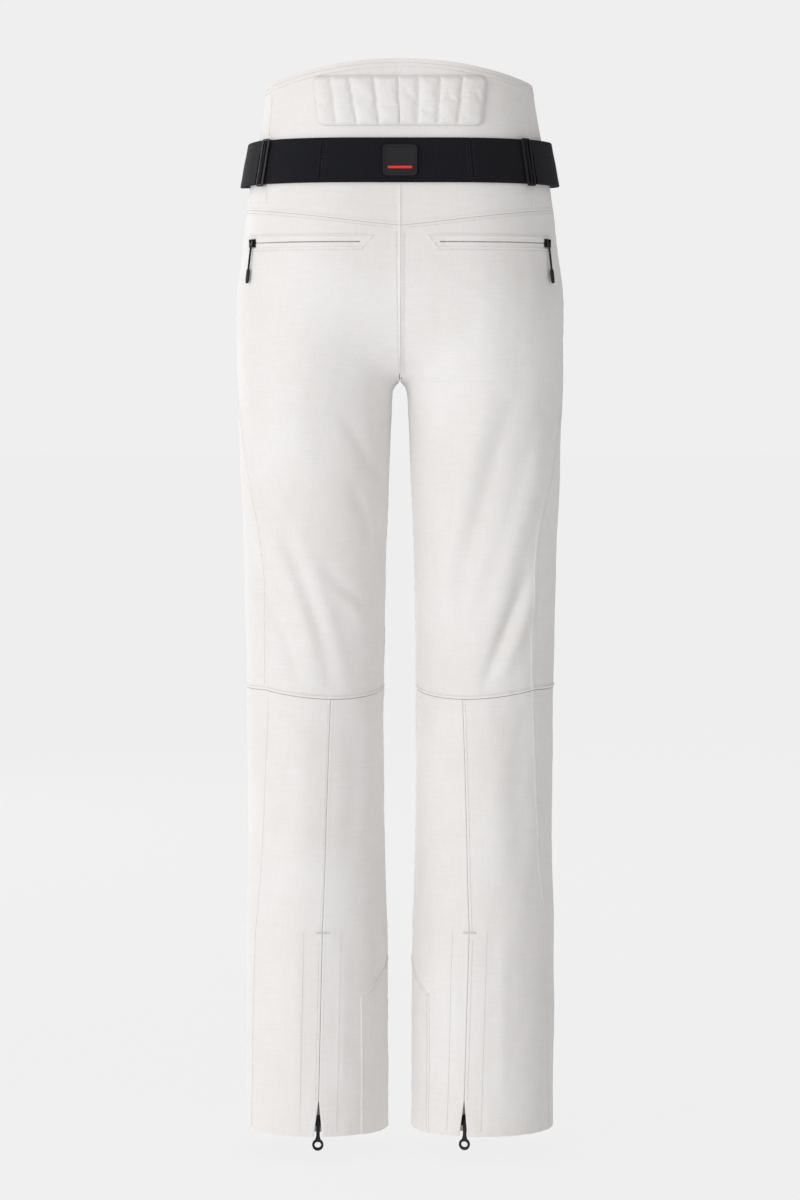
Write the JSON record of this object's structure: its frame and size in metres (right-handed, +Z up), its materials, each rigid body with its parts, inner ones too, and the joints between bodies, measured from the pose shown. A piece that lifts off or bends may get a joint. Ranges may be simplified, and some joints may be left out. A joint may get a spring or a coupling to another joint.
{
  "type": "ski pants",
  "caption": "Insulated ski trousers with a quilted lumbar pad, webbing belt with a badge, zipped back pockets, fly, ankle zips and snow gaiters.",
  "frame": {"origin": "centre of the belt line, on the centre plane, where the waist is worn", "axes": "+Z up, -Y the way the wearer faces, +X the wearer's left"},
  "size_m": [0.3422, 0.2234, 1.1335],
  "materials": {
    "shell": "matte softshell weave",
    "lining": "fine mesh",
    "gaiter": "ripstop",
    "webbing": "woven elastic webbing",
    "zip_tape": "woven tape with coil chain",
    "dark_metal": "satin",
    "puller": "matte",
    "buckle": "satin",
    "badge": "matte",
    "red_trim": "satin"
  },
  "bodies": {
    "trousers": {"waist_back": "shell", "lumbar_pad": "shell", "belt_elastic": "webbing", "belt_badge": "badge", "badge_bar": "red_trim", "clasp_base": "buckle", "fly_zip": "zip_tape", "snap_stud": "dark_metal", "back_thigh_left": "shell", "front_thigh_left": "shell", "calf_outer_left": "shell", "calf_inner_left": "shell", "front_shin_left": "shell", "kick_patch_left": "shell", "snow_gaiter_left": "gaiter", "waist_front_left": "shell", "pocket_bag_left": "lining", "pocket_zip_left": "zip_tape", "ankle_zip_left": "zip_tape", "belt_band_left": "webbing", "belt_strap_left": "webbing", "back_thigh_right": "shell", "front_thigh_right": "shell", "calf_outer_right": "shell", "calf_inner_right": "shell", "front_shin_right": "shell", "kick_patch_right": "shell", "snow_gaiter_right": "gaiter", "waist_front_right": "shell", "pocket_bag_right": "lining", "pocket_zip_right": "zip_tape", "ankle_zip_right": "zip_tape", "belt_band_right": "webbing", "belt_strap_right": "webbing"},
    "pocket_slider_left": {"pocket_slider_left": "dark_metal"},
    "pocket_pull_left": {"pocket_pull_left": "puller"},
    "ankle_slider_left": {"ankle_slider_left": "dark_metal", "ankle_pull_left": "puller"},
    "tri_glide_left": {"tri_glide_left": "buckle"},
    "pocket_slider_right": {"pocket_slider_right": "dark_metal"},
    "pocket_pull_right": {"pocket_pull_right": "puller"},
    "ankle_slider_right": {"ankle_slider_right": "dark_metal", "ankle_pull_right": "puller"},
    "tri_glide_right": {"tri_glide_right": "buckle"},
    "fly_slider": {"fly_slider": "dark_metal"},
    "fly_pull": {"fly_pull": "puller"},
    "clasp_hook": {"clasp_hook": "buckle"},
    "waist_tab": {"waist_tab": "shell", "snap_cap": "dark_metal"}
  },
  "joints": [
    {"name": "pocket_zip_left_slide", "type": "hinge", "parent": "trousers", "child": "pocket_slider_left", "pos_m": [0.055, 0, -0.083], "axis": [0, 0, 1], "range_deg": [0, 64]},
    {"name": "pocket_pull_left_swing", "type": "hinge", "parent": "pocket_slider_left", "child": "pocket_pull_left", "pos_m": [0.15426, 0.05101, -0.083], "axis": [0.4571, -0.8894, 0], "range_deg": [0, 100]},
    {"name": "ankle_zip_left_slide", "type": "slide", "parent": "trousers", "child": "ankle_slider_left", "axis": [-0.0203, -0.0009, 0.9998], "range_m": [0, 0.185]},
    {"name": "belt_adjuster_left_slide", "type": "hinge", "parent": "trousers", "child": "tri_glide_left", "pos_m": [0.05007, 0, 0], "axis": [0, 0, 1], "range_deg": [0, 20]},
    {"name": "pocket_zip_right_slide", "type": "hinge", "parent": "trousers", "child": "pocket_slider_right", "pos_m": [-0.055, 0, -0.083], "axis": [0, 0, -1], "range_deg": [0, 64]},
    {"name": "pocket_pull_right_swing", "type": "hinge", "parent": "pocket_slider_right", "child": "pocket_pull_right", "pos_m": [-0.15426, 0.05101, -0.083], "axis": [0.4571, 0.8894, 0], "range_deg": [0, 100]},
    {"name": "ankle_zip_right_slide", "type": "slide", "parent": "trousers", "child": "ankle_slider_right", "axis": [-0.0252, 0.0064, 0.9997], "range_m": [0, 0.185]},
    {"name": "belt_adjuster_right_slide", "type": "hinge", "parent": "trousers", "child": "tri_glide_right", "pos_m": [-0.05007, 0, 0], "axis": [0, 0, -1], "range_deg": [0, 20]},
    {"name": "fly_zip_slide", "type": "slide", "parent": "trousers", "child": "fly_slider", "axis": [0, 0, -1], "range_m": [0, 0.084]},
    {"name": "fly_pull_swing", "type": "hinge", "parent": "fly_slider", "child": "fly_pull", "pos_m": [0, -0.1071, -0.0605], "axis": [-1, 0, 0], "range_deg": [0, 100]},
    {"name": "belt_hook_swing", "type": "hinge", "parent": "trousers", "child": "clasp_hook", "pos_m": [-0.0317, -0.10571, 0.00016], "axis": [0, -0.1251, -0.9921], "range_deg": [0, 60]},
    {"name": "waist_tab_fold", "type": "hinge", "parent": "trousers", "child": "waist_tab", "pos_m": [0.022, -0.1011, 0.03578], "axis": [0, 0.1047, 0.9945], "range_deg": [0, 80]}
  ]
}
